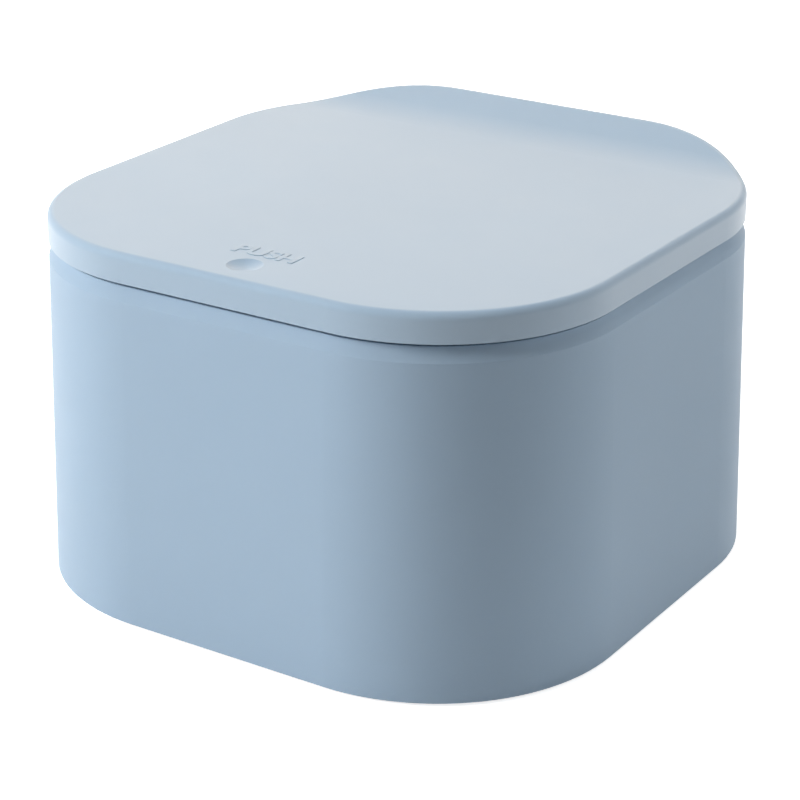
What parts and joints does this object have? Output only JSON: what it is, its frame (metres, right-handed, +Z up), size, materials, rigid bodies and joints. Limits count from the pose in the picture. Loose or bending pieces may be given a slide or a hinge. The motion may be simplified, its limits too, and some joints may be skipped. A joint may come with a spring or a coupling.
{
  "type": "push top countertop bin",
  "caption": "Low square countertop bin with large round corners: flared sleeve, lift-off frame, press-to-open sprung lid with a fingertip dimple and a raised back edge.",
  "frame": {"origin": "middle of the footprint, on the counter under the rubber feet", "axes": "+Z up, front with the push dimple towards -Y, hinge at +Y, +X to the right seen from the front"},
  "size_m": [0.18, 0.18, 0.1164],
  "materials": {
    "body_plastic": "satin moulded, pale powder blue",
    "lid_plastic": "satin moulded, pale powder blue",
    "inner_plastic": "matt moulded, off white",
    "frame_plastic": "satin moulded, powder blue",
    "mechanism_plastic": "plain natural acetal",
    "soft_grey": "matt soft grey",
    "steel": "drawn wire and plated screws"
  },
  "bodies": {
    "sleeve": {"outer_shell": "body_plastic", "base_plate": "body_plastic", "rubber_feet": "soft_grey", "base_screws": "steel"},
    "bucket": {"inner_bucket": "inner_plastic"},
    "frame": {"top_frame": "frame_plastic", "hinge_pins": "steel", "opening_spring_left": "steel", "opening_spring_right": "steel", "latch_housing": "mechanism_plastic", "latch_screws": "steel", "latch_spring": "steel"},
    "lid": {"lid_cover": "lid_plastic", "lid_liner": "inner_plastic", "lid_seal": "soft_grey", "lid_screws": "steel", "striker": "mechanism_plastic", "striker_screws": "steel"},
    "shuttle": {"latch_shuttle": "mechanism_plastic", "jaw_pins": "steel"},
    "jaw_left": {"latch_jaw_left": "mechanism_plastic"},
    "jaw_right": {"latch_jaw_right": "mechanism_plastic"}
  },
  "joints": [
    {"name": "frame_lift", "type": "slide", "parent": "sleeve", "child": "frame", "axis": [0, 0, 1], "range_m": [0, 0.2]},
    {"name": "bucket_lift", "type": "slide", "parent": "sleeve", "child": "bucket", "axis": [0, 0, 1], "range_m": [0, 0.1]},
    {"name": "lid_hinge", "type": "hinge", "parent": "frame", "child": "lid", "pos_m": [0, 0.081, 0.10978], "axis": [-1, 0, 0], "range_deg": [-0.27, 88]},
    {"name": "shuttle_slide", "type": "slide", "parent": "frame", "child": "shuttle", "axis": [0, 0, 1], "range_m": [-0.0001, 0.0061], "deforming": ["latch_spring"]},
    {"name": "jaw_left_pivot", "type": "hinge", "parent": "shuttle", "child": "jaw_left", "pos_m": [-0.0056, -0.0742, 0.0905], "axis": [0, -1, 0], "range_deg": [-0.2, 20.2]},
    {"name": "jaw_right_pivot", "type": "hinge", "parent": "shuttle", "child": "jaw_right", "pos_m": [0.0056, -0.0742, 0.0905], "axis": [0, 1, 0], "range_deg": [-0.2, 20.2]}
  ],
  "couplings": [
    {"joint": "bucket_lift", "follows": "frame_lift", "ratio": 0.5},
    {"joint": "shuttle_slide", "follows": "lid_hinge", "m_per_rad": 0.0039065},
    {"joint": "jaw_left_pivot", "follows": "lid_hinge", "ratio": 0.22727},
    {"joint": "jaw_right_pivot", "follows": "lid_hinge", "ratio": 0.22727}
  ]
}
